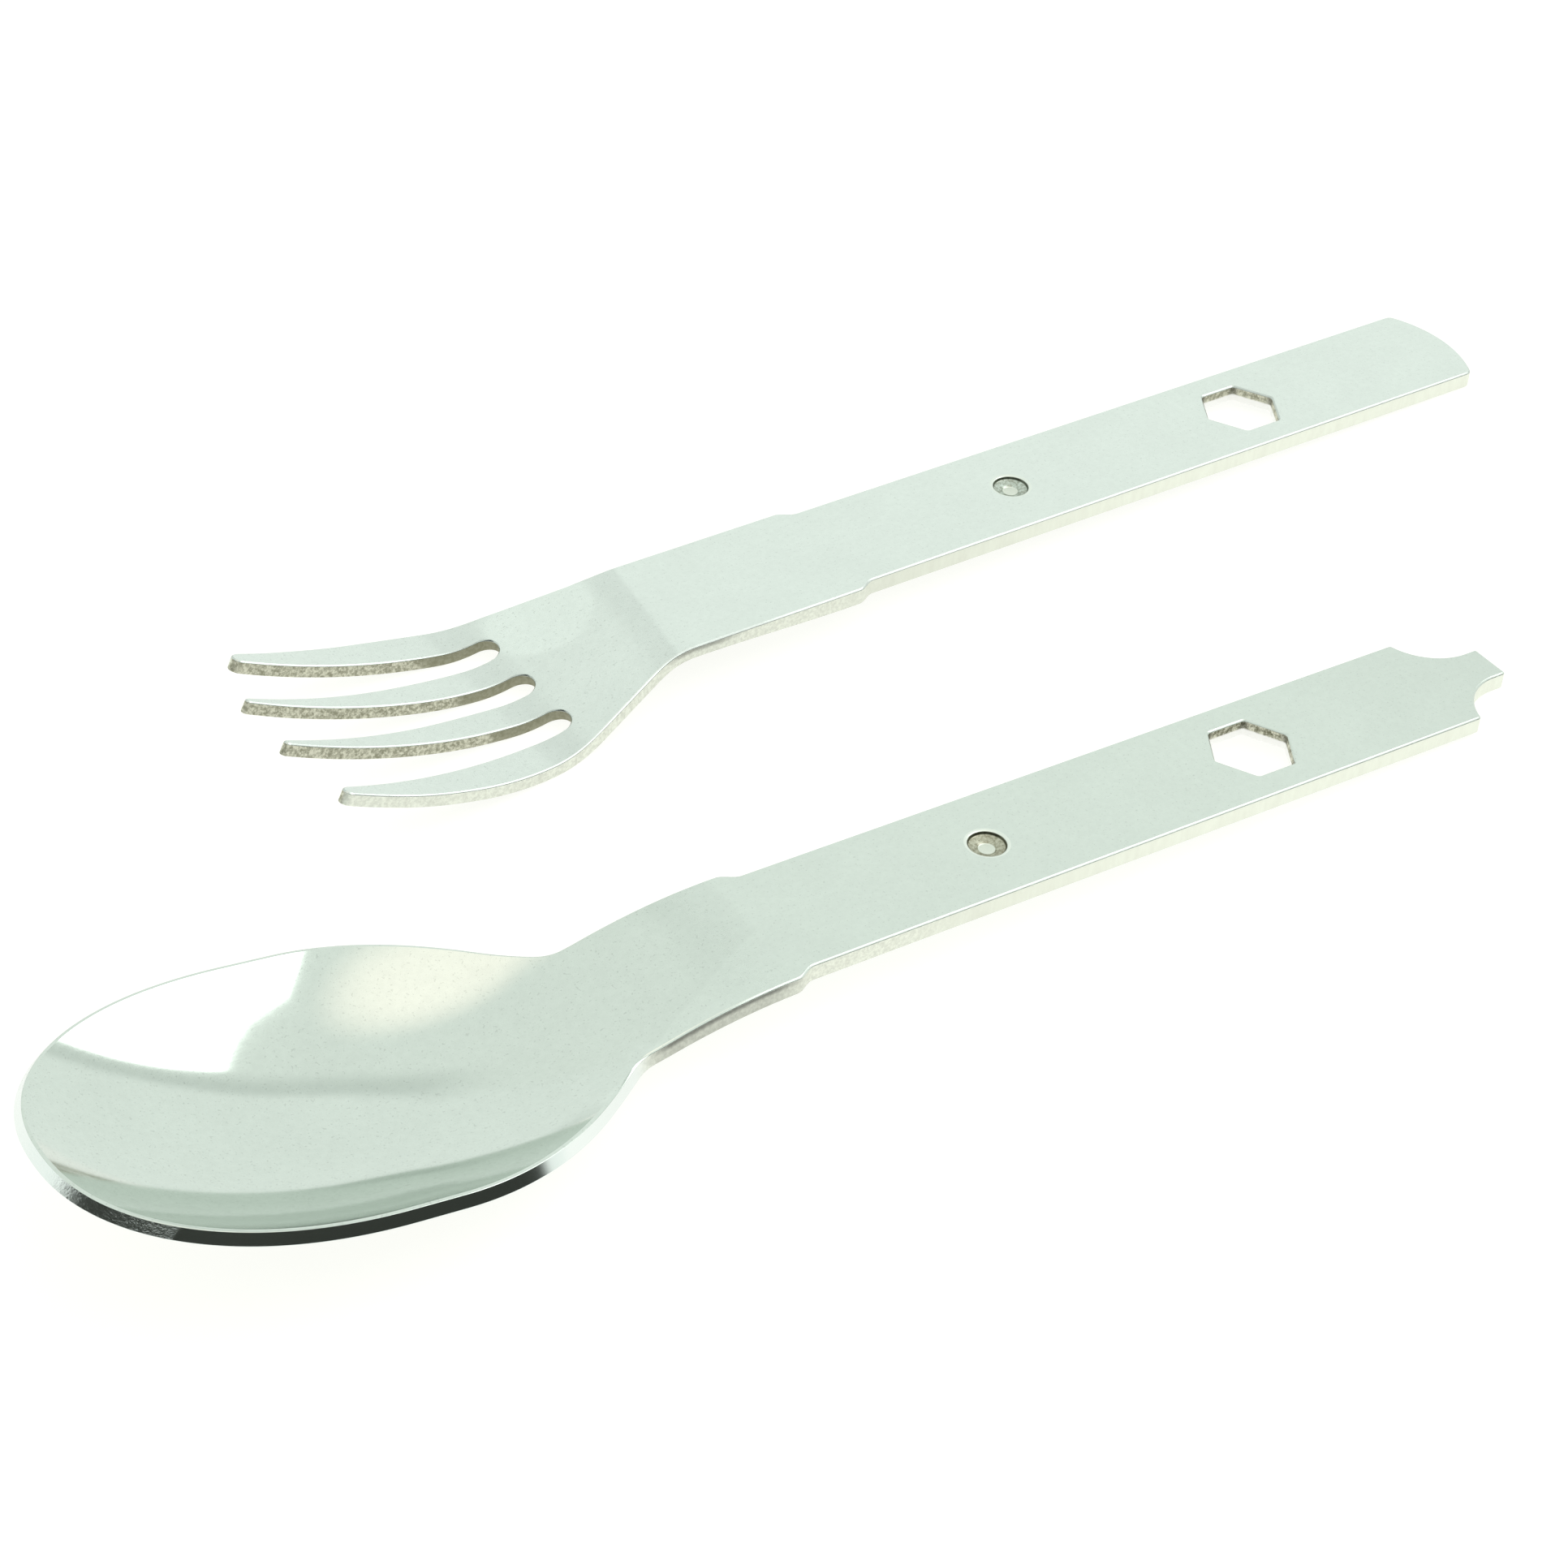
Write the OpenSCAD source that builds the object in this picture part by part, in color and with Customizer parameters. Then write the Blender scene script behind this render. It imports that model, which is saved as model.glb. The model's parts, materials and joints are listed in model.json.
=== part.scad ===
// Picnic cutlery: a fork and a spoon, each blanked and pressed from one piece of stainless sheet.
// Each piece is drawn in its own plan, with x = 0 at the centre of its hexagon hole, +x towards the
// end of the handle, -x towards the tines or the bowl, and z = 0 on the handle's upper face. Both
// then lie on one surface, touching it with the end of the handle and the bottom of the head.

/* [Sheet] */
// Thickness of the sheet along the handles
sheet_t = 2.4; // [2:0.1:3]
// Thickness of the tines and of the bowl's wall, where the press has thinned the sheet
pressed_t = 1.8; // [1.5:0.1:2]

/* [Handles] */
// Width of both handles
handle_w = 17.7; // [16:0.1:19]
// Width of both necks, past the shoulders
neck_w = 20; // [19:0.1:21]
// Distance from the hexagon hole to the shoulder
shoulder_x = 71.4; // [68:0.1:72]
// Size across the flats of the hexagon wrench hole
hex_flats = 10; // [8, 10]
// Distance from the hexagon hole to the locating dimple
dimple_x = 40.7; // [30:0.1:50]
// Diameter of the dimple's recess
recess_d = 4.8; // [4:0.1:6]
// Depth of the dimple's recess, and height of the boss beneath it
recess_depth = 0.5; // [0.3:0.1:1]
// Clearance of the boss in the recess of the piece that it is stacked on
boss_clearance = 0.2; // [0.1:0.05:0.4]

/* [Fork] */
// Distance from the hexagon hole to the end of the fork's handle
fork_end_x = 38.4; // [36:0.1:42]
// Radius of the rounded end of the fork's handle
fork_end_r = 17; // [14:1:24]
// Distance from the hexagon hole to the tips of the inner tines
inner_tip_x = 154.2; // [152:0.1:156]
// Distance from the hexagon hole to the tips of the outer tines
outer_tip_x = 151.6; // [150:0.1:154]
// Half width of the fork's head before it narrows towards the tips
fork_half_w = 17.1; // [16:0.1:18]
// Distance between the centre lines of neighbouring slots
slot_pitch = 8.6; // [8.4:0.1:8.8]
// Width of a slot at its root
slot_w = 4.1; // [3.6:0.1:4.3]
// Distance from the hexagon hole to the roots of the slots
slot_root_x = 116.4; // [114:0.1:120]
// Downward slope of the fork's neck
fork_bend = 0.31; // [0.26:0.01:0.34]
// Radius of the tines' upward curve
tine_curve_r = 78; // [70:1:110]

/* [Spoon] */
// Distance from the hexagon hole to the end of the screwdriver blade
blade_end_x = 40; // [38:0.1:42]
// Width of the screwdriver blade
blade_w = 5.8; // [5:0.1:7]
// Radius of the round notch on each side of the blade
notch_r = 7.7; // [7.3:0.1:8]
// Half width of the bowl at the inner edge of its rim
bowl_half_w = 22; // [20:0.1:24]
// Distance from the hexagon hole to the bowl's widest place
bowl_mid_x = 130; // [128:1:134]
// Distance from the bowl's widest place to its tip
bowl_tip_len = 32.5; // [30:0.5:36]
// Depth of the bowl below its rim
bowl_depth = 8; // [6:0.1:10]
// Downward slope of the spoon's neck
spoon_bend = 0.25; // [0.2:0.01:0.3]
// Upward slope of the bowl's rim
rim_rise = 0.13; // [0.08:0.01:0.18]

/* [Layout] */
// Sideways distance between the two hexagon holes
side_gap = 62; // [55:0.1:70]
// Distance by which the fork's hexagon hole is ahead of the spoon's
fork_ahead = 48.5; // [40:0.1:60]
// Turn of the fork against the spoon, seen from above
fork_turn = 1.1; // [0:0.1:2]

/* [Hidden] */

cut_over = 1;          // how far a cutter runs past the face it cuts
shoulder_len = 2.8;    // length over which the handle widens to the neck
flat_end_x = 74;       // past here each piece is pressed out of the flat
round_fn = 48;         // facets of a true circle
hex_sides = 6;

// Fork head
fork_bend_x = 101;     // where the neck bends down
fork_root_x = 119.5;   // where the head levels out again
curve_start_x = 118;   // where the tines start to curve up
flare_x = 102.2;       // where the head starts to widen
flare_slope = 0.325;   // how fast it widens
narrow_x = 141;        // where it narrows again
narrow_slope = 0.07;   // how fast it narrows
slot_root_r = slot_w / 2;
centre_open = [127, 0.085];  // where the centre slot starts to widen, and how fast
side_in_open = [130, 0.05];  // the same for the inner edge of a side slot
side_out_open = [120.5, 0.13]; // the same for its outer edge
inner_tip_r = 0.55;
outer_tip_r = 0.75;

// Spoon neck and bowl
spoon_bend_x = 82;     // where the neck bends down
pinch_x = 95.2;        // where the outline opens into the bowl
rim_turn_x = 96.8;     // where the rim turns up
outline_slope = 0.66;  // how fast the bowl widens from the neck
fullness = 2.2;        // power of the bowl's outline and of its section; 2 is an ellipse
channel_len = 24;      // length of the shallow channel that leads into the bowl
channel_depth = 1;     // its depth where it meets the bowl
rim_turn = spoon_bend + rim_rise;
bowl_rows = 20;        // sections between the neck and the bowl's widest place
tip_rows = 9;          // sections between there and the tip
bowl_cols = 16;        // facets across a section
last_angle = 86;       // the last section's angle round the tip

// A slope that starts smoothly: 0 before -r, then a parabola, then d itself past r.
function ramp(d, r) = d <= -r ? 0 : d >= r ? d : (d + r) ^ 2 / (4 * r);
// 0 below 0, 1 above 1, and an S curve between.
function smooth(u) = u <= 0 ? 0 : u >= 1 ? 1 : u * u * (3 - 2 * u);
function reversed(list) = [for (i = [len(list) - 1:-1:0]) list[i]];
function mirrored(half) = concat(half, [for (p = reversed(half)) [p[0], -p[1]]]);
// Thickness of a piece: the full sheet along the handle, the pressed sheet past the neck.
function thickness(x) = sheet_t - (sheet_t - pressed_t) * smooth((-flat_end_x - x) / channel_len);
// Half width of a handle and its neck.
function handle_half(x) =
    (handle_w + (neck_w - handle_w) * smooth((shoulder_len / 2 - shoulder_x - x) / shoulder_len)) / 2;
shoulder_xs = [for (i = [0:6]) shoulder_len / 2 - shoulder_x - i * shoulder_len / 6];
// Angle of the line from the handle's end that just touches an underside given as [x, z] points.
function lean(end_x, underside) =
    max([for (p = underside) atan((-sheet_t - p[1]) / (end_x - p[0]))]);

// Height of the fork's upper face.
function fork_z(x) =
    -fork_bend * (ramp(-fork_bend_x - x, 3) - ramp(-fork_root_x - x, 3.5))
    + max(0, -curve_start_x - x) ^ 2 / (2 * tine_curve_r);
function fork_slope(x) = (fork_z(x + 0.01) - fork_z(x - 0.01)) / 0.02;
function fork_under(x) = fork_z(x) - thickness(x) * norm([1, fork_slope(x)]);
// Half width of the fork's blank.
flare_end_x = flare_x + (fork_half_w - neck_w / 2) / flare_slope;
function fork_half(x) =
    handle_half(x) + flare_slope * (ramp(-flare_x - x, 3) - ramp(-flare_end_x - x, 10))
    - narrow_slope * ramp(-narrow_x - x, 3);
// Distance by which a slot's edge has opened at x, from [where it starts, how fast].
function opened(x, open) = open[1] * ramp(-open[0] - x, 4);

// Half width of the bowl's outline before its tip is rounded off.
open_end_x = pinch_x + (bowl_half_w - neck_w / 2) / outline_slope;
function bowl_side(x) =
    handle_half(x) + outline_slope * (ramp(-pinch_x - x, 3) - ramp(-open_end_x - x, 11));
// How far x is from the widest place to the tip, raised to the outline's power.
function tip_part(x) = (max(0, -bowl_mid_x - x) / bowl_tip_len) ^ fullness;
function bowl_edge(x) = bowl_side(x) * (1 - tip_part(x)) ^ (1 / fullness);
function rim_z(x) = -spoon_bend * ramp(-spoon_bend_x - x, 4) + rim_turn * ramp(-rim_turn_x - x, 5);
deep_x = rim_turn_x + (bowl_depth - channel_depth) / rim_turn;
function channel_z(x) =
    channel_depth * smooth((-flat_end_x - x) / channel_len)
    + rim_turn * (ramp(-rim_turn_x - x, 5) - ramp(-deep_x - x, 15));
// Height of the spoon's upper face.
function spoon_z(x, y) =
    rim_z(x) - channel_z(x) * (1 - tip_part(x) - (abs(y) / bowl_side(x)) ^ fullness);
function unit(v) = v / norm(v);
function spoon_normal(x, y) =
    unit([spoon_z(x - 0.05, y) - spoon_z(x + 0.05, y), spoon_z(x, y - 0.05) - spoon_z(x, y + 0.05), 0.1]);
function upper_point(x, y) = [x, y, spoon_z(x, y)];
function lower_point(x, y) = upper_point(x, y) - thickness(x) * spoon_normal(x, y);

// The angles at which the two pieces come to rest, and the heights of their hexagon holes.
spoon_lean = lean(blade_end_x, [for (x = [-110:-1:-140]) [lower_point(x, 0)[0], lower_point(x, 0)[2]]]);
fork_lean = lean(fork_end_x, [for (x = [-105:-1:-135]) [x, fork_under(x)]]);
spoon_lift = blade_end_x * sin(spoon_lean) + sheet_t * cos(spoon_lean);
fork_lift = fork_end_x * sin(fork_lean) + sheet_t * cos(fork_lean);

// Middle of the pair's plan, which is the origin. The rim's outer edge stands past its inner one.
last_x = -bowl_mid_x - bowl_tip_len * sin(last_angle) ^ (2 / fullness);
bowl_tip = lower_point(last_x, 0);
far_y = side_gap - sin(fork_turn) * narrow_x + fork_half_w;
near_y = lower_point(-bowl_mid_x, -bowl_half_w)[1];
head_x = bowl_tip[0] * cos(spoon_lean) + bowl_tip[2] * sin(spoon_lean);
tail_x = fork_ahead + fork_end_x;
middle = [(head_x + tail_x) / 2, (far_y + near_y) / 2];

module hexagon_hole() {
    translate([0, 0, -sheet_t - cut_over])
        cylinder(h = sheet_t + 2 * cut_over, d = hex_flats / cos(30), $fn = hex_sides);
}

module dimple_recess() {
    translate([-dimple_x, 0, -recess_depth])
        cylinder(h = recess_depth + cut_over, d = recess_d, $fn = round_fn);
}

module dimple_boss() {
    translate([-dimple_x, 0, -sheet_t - recess_depth])
        cylinder(h = recess_depth + sheet_t / 2, d = recess_d - 2 * boss_clearance, $fn = round_fn);
}

// Cuts the hexagon hole and the dimple into a blank, and adds the dimple's boss.
module punched() {
    difference() {
        union() {
            children();
            dimple_boss();
        }
        hexagon_hole();
        dimple_recess();
    }
}

// Plan of the fork before its slots are cut.
module fork_blank() {
    corner_x = fork_end_x - fork_end_r + sqrt(fork_end_r ^ 2 - (handle_w / 2) ^ 2);
    head_xs = [for (x = [-99:-1.5:-159]) x];
    half = [for (x = concat([corner_x], shoulder_xs, head_xs)) [x, fork_half(x)]];
    end_angle = asin(handle_w / 2 / fork_end_r);
    end_arc = [for (i = [1:7])
        let (a = -end_angle + i * end_angle / 4)
        [fork_end_x - fork_end_r + fork_end_r * cos(a), fork_end_r * sin(a)]];
    polygon(concat(mirrored(half), end_arc));
}

// One slot: a round root, and two edges that open towards the tips.
module slot(y, left_open, right_open) {
    root = slot_root_x + slot_root_r;
    xs = [-root, for (x = [-121:-3:-160]) x];
    translate([-root, y])
        circle(r = slot_root_r, $fn = round_fn);
    polygon(concat(
        [for (x = xs) [x, y + slot_root_r + opened(x, left_open)]],
        [for (x = reversed(xs)) [x, y - slot_root_r - opened(x, right_open)]]));
}

// Trims one tine to a rounded tip.
module tip_trim(tip_x, y, r) {
    trim_len = 10;
    trim_w = 5;
    difference() {
        translate([-tip_x + r - trim_len, y - trim_w / 2])
            square([trim_len, trim_w]);
        translate([-tip_x + r, y])
            circle(r = r, $fn = round_fn);
    }
}

module fork_plan() {
    inner_tip_y = 4.85;
    outer_tip_y = 15.75;
    difference() {
        fork_blank();
        slot(0, centre_open, centre_open);
        for (side = [1, -1]) {
            mirror([0, side < 0 ? 1 : 0]) {
                slot(slot_pitch, side_out_open, side_in_open);
                tip_trim(inner_tip_x, inner_tip_y, inner_tip_r);
                tip_trim(outer_tip_x, outer_tip_y, outer_tip_r);
            }
        }
    }
}

// Side view of the fork: one band of sheet, bent down at the neck and curved up to the tips.
module fork_band() {
    xs = concat(
        [fork_end_x + cut_over, -97],
        [for (x = [-98:-1:-104]) x],
        [for (x = [-116:-1:-123]) x],
        [for (x = [-126:-3:-159]) x]);
    band_w = 3 * neck_w;
    rotate([90, 0, 0])
        linear_extrude(band_w, center = true)
            polygon(concat(
                [for (x = xs) [x, fork_z(x)]],
                [for (x = reversed(xs)) [x, fork_under(x)]]));
}

module fork() {
    plan_h = 40;
    color("gainsboro")
        translate([fork_ahead, side_gap, fork_lift] - [middle[0], middle[1], 0])
            rotate([0, fork_lean, fork_turn])
                punched()
                    intersection() {
                        fork_band();
                        translate([0, 0, -plan_h / 2])
                            linear_extrude(plan_h)
                                fork_plan();
                    }
}

// The spoon's flat handle, with its screwdriver blade between two round notches.
module spoon_handle() {
    notch_x = blade_end_x - 2;
    corner_x = notch_x - sqrt(notch_r ^ 2 - (notch_r + blade_w / 2 - handle_w / 2) ^ 2);
    half = concat(
        [[blade_end_x, blade_w / 2], [notch_x, blade_w / 2], [notch_x, handle_w / 2],
         [corner_x, handle_w / 2]],
        [for (x = concat(shoulder_xs, [-flat_end_x])) [x, handle_half(x)]]);
    translate([0, 0, -sheet_t])
        linear_extrude(sheet_t)
            difference() {
                polygon(mirrored(half));
                for (side = [1, -1])
                    translate([notch_x, side * (blade_w / 2 + notch_r)])
                        circle(r = notch_r, $fn = round_fn);
            }
}

// The neck and the bowl, as one shell between an upper and a lower grid of points.
module spoon_bowl() {
    neck_xs = [for (i = [0:bowl_rows])
        -flat_end_x - (bowl_mid_x - flat_end_x) * i / bowl_rows];
    tip_xs = [for (i = [1:tip_rows])
        -bowl_mid_x - bowl_tip_len * sin(last_angle * i / tip_rows) ^ (2 / fullness)];
    xs = concat(neck_xs, tip_xs);
    cols = bowl_cols + 1;
    rows = len(xs);
    upper = [for (x = xs, j = [0:bowl_cols]) upper_point(x, bowl_edge(x) * (2 * j / bowl_cols - 1))];
    lower = [for (x = xs, j = [0:bowl_cols]) lower_point(x, bowl_edge(x) * (2 * j / bowl_cols - 1))];
    last = (rows - 1) * cols;
    under = rows * cols;
    quads = concat(
        [for (i = [0:rows - 2], j = [0:bowl_cols - 1])
            let (a = i * cols + j) [a, a + 1, a + cols + 1, a + cols]],
        [for (i = [0:rows - 2], j = [0:bowl_cols - 1])
            let (a = under + i * cols + j) [a, a + cols, a + cols + 1, a + 1]],
        [for (i = [0:rows - 2])
            let (a = i * cols) [a, a + cols, under + a + cols, under + a]],
        [for (i = [0:rows - 2])
            let (a = i * cols + bowl_cols) [a, under + a, under + a + cols, a + cols]],
        [for (j = [0:bowl_cols - 1]) [j, under + j, under + j + 1, j + 1]],
        [for (j = [0:bowl_cols - 1]) [last + j, last + j + 1, under + last + j + 1, under + last + j]]);
    halves = [[0, 2, 1], [0, 3, 2]];
    faces = [for (q = quads, half = halves) [for (k = half) q[k]]];
    polyhedron(concat(upper, lower), faces);
}

module spoon() {
    color("whitesmoke")
        translate([0, 0, spoon_lift] - [middle[0], middle[1], 0])
            rotate([0, spoon_lean, 0])
                union() {
                    punched()
                        spoon_handle();
                    spoon_bowl();
                }
}

spoon();
fork();
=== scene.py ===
"""Looks of the picnic cutlery: a fork and a spoon of pressed stainless sheet.

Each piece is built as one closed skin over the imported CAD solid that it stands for. It is drawn in the
piece's own plan, in millimetres: x = 0 at the hexagon hole, +x towards the end of the handle, z = 0 on
the handle's upper face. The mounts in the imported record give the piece's place in the frame.
"""

import json
from math import asin, cos, pi, radians, sin, sqrt

import bpy
import numpy as np
from mathutils import Matrix, Vector
from mathutils.geometry import delaunay_2d_cdt

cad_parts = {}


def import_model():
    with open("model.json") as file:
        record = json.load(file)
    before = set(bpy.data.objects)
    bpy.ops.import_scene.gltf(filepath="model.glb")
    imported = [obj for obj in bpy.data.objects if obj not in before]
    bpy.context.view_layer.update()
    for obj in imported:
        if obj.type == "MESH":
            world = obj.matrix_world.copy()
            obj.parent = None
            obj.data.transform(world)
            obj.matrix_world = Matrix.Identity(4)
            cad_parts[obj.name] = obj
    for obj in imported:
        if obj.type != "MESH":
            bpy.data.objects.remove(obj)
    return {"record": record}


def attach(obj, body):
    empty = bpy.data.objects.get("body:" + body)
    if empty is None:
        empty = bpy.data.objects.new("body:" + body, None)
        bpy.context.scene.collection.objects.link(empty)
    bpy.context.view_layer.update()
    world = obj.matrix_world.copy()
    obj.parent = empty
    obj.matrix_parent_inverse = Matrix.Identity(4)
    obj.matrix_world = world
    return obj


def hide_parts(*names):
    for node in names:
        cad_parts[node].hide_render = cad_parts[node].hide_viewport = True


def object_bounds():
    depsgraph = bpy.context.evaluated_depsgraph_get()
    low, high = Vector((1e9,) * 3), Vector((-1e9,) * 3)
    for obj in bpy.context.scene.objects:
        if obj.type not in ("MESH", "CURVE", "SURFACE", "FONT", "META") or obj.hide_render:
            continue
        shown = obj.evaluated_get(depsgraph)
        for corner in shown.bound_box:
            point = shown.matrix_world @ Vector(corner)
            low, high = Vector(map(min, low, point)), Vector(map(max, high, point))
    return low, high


MM = 0.001

# Sheet and handles, in mm
PRESSED_T = 1.8
HANDLE_W = 17.7
NECK_W = 20.0
SHOULDER_X = 71.4
SHOULDER_LEN = 2.8
FLAT_END_X = 74.0
THINNING_LEN = 24.0
HEX_FLATS = 10.0
HEX_CORNER_R = 0.35
DIMPLE_X = 40.7

# Fork, in mm
FORK_END_X = 38.4
FORK_END_R = 17.0
INNER_TIP_X = 154.2
FAR_TIP_X = 150.4
NEAR_TIP_X = 152.2
FORK_HALF_W = 17.1
SLOT_PITCH = 8.6
SLOT_W = 4.1
SLOT_ROOT_X = 116.4
FORK_BEND = 0.31
FORK_BEND_X = 101.0
FORK_ROOT_X = 119.5
CURVE_START_X = 118.0
TINE_CURVE_R = 78.0
FLARE_X = 102.2
FLARE_SLOPE = 0.325
NARROW_X = 141.0
NARROW_SLOPE = 0.07
CENTRE_OPEN = (127.0, 0.085)
SIDE_IN_OPEN = (130.0, 0.05)
SIDE_OUT_OPEN = (120.5, 0.13)
TINE_CAP_RATIO = 1.3

# Spoon, in mm
BLADE_END_X = 40.0
BLADE_W = 5.8
BLADE_LEN = 2.0
NOTCH_R = 7.7
BOWL_HALF_W = 22.0
BOWL_MID_X = 130.0
BOWL_TIP_LEN = 32.1
BOWL_DEPTH = 8.0
SPOON_BEND = 0.25
SPOON_BEND_X = 82.0
SPOON_BEND_R = 9.0
RIM_RISE = 0.13
RIM_TURN_X = 96.8
PINCH_X = 95.2
PINCH_R = 1.6
OUTLINE_SLOPE = 0.66
FULLNESS = 2.2
NEAR_SHOULDER_SHIFT = 1.5
NEAR_SHIFT_FADES = ((-64.0, 5.0), (-86.0, 9.0))
CHANNEL_LEN = 24.0
CHANNEL_DEPTH = 1.0

# Dimple, in mm: (radius, height) down the recess, and down the boss from the sheet's lower face
RECESS_R = 2.4
RECESS = ((RECESS_R + 0.45, 0), (RECESS_R, -0.12), (RECESS_R - 0.14, -0.5), (1.2, -0.78),
          (1.0, -0.95), (0, -0.95))
BOSS_R = 2.2
BOSS = ((BOSS_R + 0.3, 0), (BOSS_R, -0.08), (BOSS_R - 0.1, -0.5), (0, -0.5))

# Edges, in mm
TOP_ROLL = 0.25
SLOT_ROLL = 0.2
RIM_TOP_ROLL = 0.3
BOTTOM_ROLL = 0.14
ROLL_STEPS = 5
# The upper edge's section: part of the roll out, part of the roll down, degrees that it faces outward
TOP_SECTION = ((0.1, 0.03, 25), (0.25, 0.14, 38), (0.82, 0.72, 46), (0.95, 0.88, 62), (1.0, 1.0, 90))
OUTLINE_STEP = 0.6
SURFACE_STEP = 0.75

# Material places on each piece, in the order that its skin names them
SHEET, EDGE, DIMPLE = 0, 1, 2

# Colours
SPOON_STEEL = (0.645, 0.705, 0.655, 1)
FORK_STEEL = (0.705, 0.76, 0.72, 1)
SHEARED = ((0.68, 0.7, 0.62, 1), (0.82, 0.86, 0.77, 1))
SPOON_TORN = (0.2, 0.2, 0.13, 1)
FORK_TORN = (0.36, 0.36, 0.27, 1)
TORN_LIGHT = (0.8, 0.8, 0.68, 1)
# Painted shade for the slot walls at their roots.
SLOT_ROOT_SHADE = (0.3, 0.3, 0.21, 1)
# A painted highlight for the lower wall of the hexagon hole.
HEXAGON_LIT = (1.0, 1.0, 0.99, 1)
GROUND_RIM = (0.8, 0.85, 0.83, 1)
TENT_INSIDE = (0.965, 1.015, 0.975, 1)
TENT_OUTSIDE = (0.935, 0.985, 0.94, 1)
TENT_SEAM = (0.42, 0.48, 0.44, 1)
TENT_GLOW = (1.36, 1.3, 1.2, 1)
TENT_OPENING = (0.034, 0.038, 0.032, 1)
WHITE = (1.0, 1.0, 1.0, 1)

# The neck's cut edges: first x, last x, how dark the wall is, how dark the strip under its upper edge is
SPOON_NECK = (-75, -93, 0.72, 0.3)
FORK_NECK = (-93, -102, 0.95, 0.5)


# ---------------------------------------------------------------- shape rules
# They are the CAD part's, except for the tips, the spoon's bend and its pinch, which follow the
# photograph more closely.


def ramp(d, r):
    """A slope that starts smoothly: 0 before -r, then a parabola, then d itself past r."""
    d = np.asarray(d, float)
    return np.where(d <= -r, 0.0, np.where(d >= r, d, (d + r) ** 2 / (4 * r)))


def smooth(u):
    u = np.clip(u, 0.0, 1.0)
    return u * u * (3 - 2 * u)


def handle_half(x):
    widening = smooth((SHOULDER_LEN / 2 - SHOULDER_X - x) / SHOULDER_LEN)
    return (HANDLE_W + (NECK_W - HANDLE_W) * widening) / 2


def fork_height(x, y):
    bend = FORK_BEND * (ramp(-FORK_BEND_X - x, 3) - ramp(-FORK_ROOT_X - x, 3.5))
    curve = np.maximum(0.0, -CURVE_START_X - x) ** 2 / (2 * TINE_CURVE_R)
    return curve - bend + 0 * y


def fork_half(x):
    flare_end = FLARE_X + (FORK_HALF_W - NECK_W / 2) / FLARE_SLOPE
    flare = FLARE_SLOPE * (ramp(-FLARE_X - x, 3) - ramp(-flare_end - x, 10))
    return handle_half(x) + flare - NARROW_SLOPE * ramp(-NARROW_X - x, 3)


def opened(x, opening):
    """How far a slot's edge has opened at x, where opening is (where it starts, how fast)."""
    start, slope = opening
    return slope * ramp(-start - x, 4)


def bowl_side(x):
    open_end = PINCH_X + (BOWL_HALF_W - NECK_W / 2) / OUTLINE_SLOPE
    return handle_half(x) + OUTLINE_SLOPE * (ramp(-PINCH_X - x, PINCH_R) - ramp(-open_end - x, 11))


def tip_part(x):
    return (np.maximum(0.0, -BOWL_MID_X - x) / BOWL_TIP_LEN) ** FULLNESS


def spoon_height(x, y):
    rim_turn = SPOON_BEND + RIM_RISE
    rim = rim_turn * ramp(-RIM_TURN_X - x, 5) - SPOON_BEND * ramp(-SPOON_BEND_X - x, SPOON_BEND_R)
    deep = RIM_TURN_X + (BOWL_DEPTH - CHANNEL_DEPTH) / rim_turn
    channel = CHANNEL_DEPTH * smooth((-FLAT_END_X - x) / CHANNEL_LEN)
    bowl = rim_turn * (ramp(-RIM_TURN_X - x, 5) - ramp(-deep - x, 15))
    section = 1 - tip_part(x) - (np.abs(y) / bowl_side(x)) ** FULLNESS
    return rim - (channel + bowl) * section


def surface_normal(height, x, y):
    """Unit normals of the surface z = height(x, y)."""
    e = 0.02
    dx = (height(x + e, y) - height(x - e, y)) / (2 * e)
    dy = (height(x, y + e) - height(x, y - e)) / (2 * e)
    n = np.stack([-dx, -dy, np.ones_like(dx)], -1)
    return n / np.linalg.norm(n, axis=-1, keepdims=True)


# ---------------------------------------------------------------- outlines, with the sheet on their left


def arc(centre, r, start_deg, end_deg, steps):
    angles = np.radians(np.linspace(start_deg, end_deg, steps + 1))
    return [(centre[0] + r * cos(a), centre[1] + r * sin(a)) for a in angles]


def corner(before, at, after, size, steps=4):
    """A rounded corner, from size before it to size after it."""
    before, at, after = (np.array(p, float) for p in (before, at, after))
    start = at + size * (before - at) / np.linalg.norm(before - at)
    end = at + size * (after - at) / np.linalg.norm(after - at)
    return [
        tuple((1 - t) ** 2 * start + 2 * t * (1 - t) * at + t ** 2 * end)
        for t in np.linspace(0, 1, steps + 1)
    ]


def mirrored(points):
    """The points on the other side of the middle line, in the opposite order."""
    return [(x, -y) for x, y in reversed(points)]


def resampled(points, step):
    """A closed outline with no side longer than step and no repeated point."""
    out = []
    for a, b in zip(points, points[1:] + points[:1]):
        a, b = np.array(a), np.array(b)
        length = np.linalg.norm(b - a)
        if length < 1e-3:
            continue
        count = max(1, int(np.ceil(length / step)))
        out += [a + (b - a) * i / count for i in range(count)]
    return np.array(out)


def hexagon_outline():
    """The hexagon hole, clockwise, with its corners along the handle."""
    r = HEX_FLATS / 2 / cos(radians(30))
    tips = [np.array([r * cos(a), r * sin(a)]) for a in np.radians(np.arange(360, 0, -60))]
    points = []
    for i, tip in enumerate(tips):
        points += corner(tips[i - 1], tip, tips[(i + 1) % 6], HEX_CORNER_R)
    return points


def circle_outline(r):
    """A round hole at the dimple, clockwise."""
    return arc((-DIMPLE_X, 0), r, 360, 0, 48)[:-1]


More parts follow.
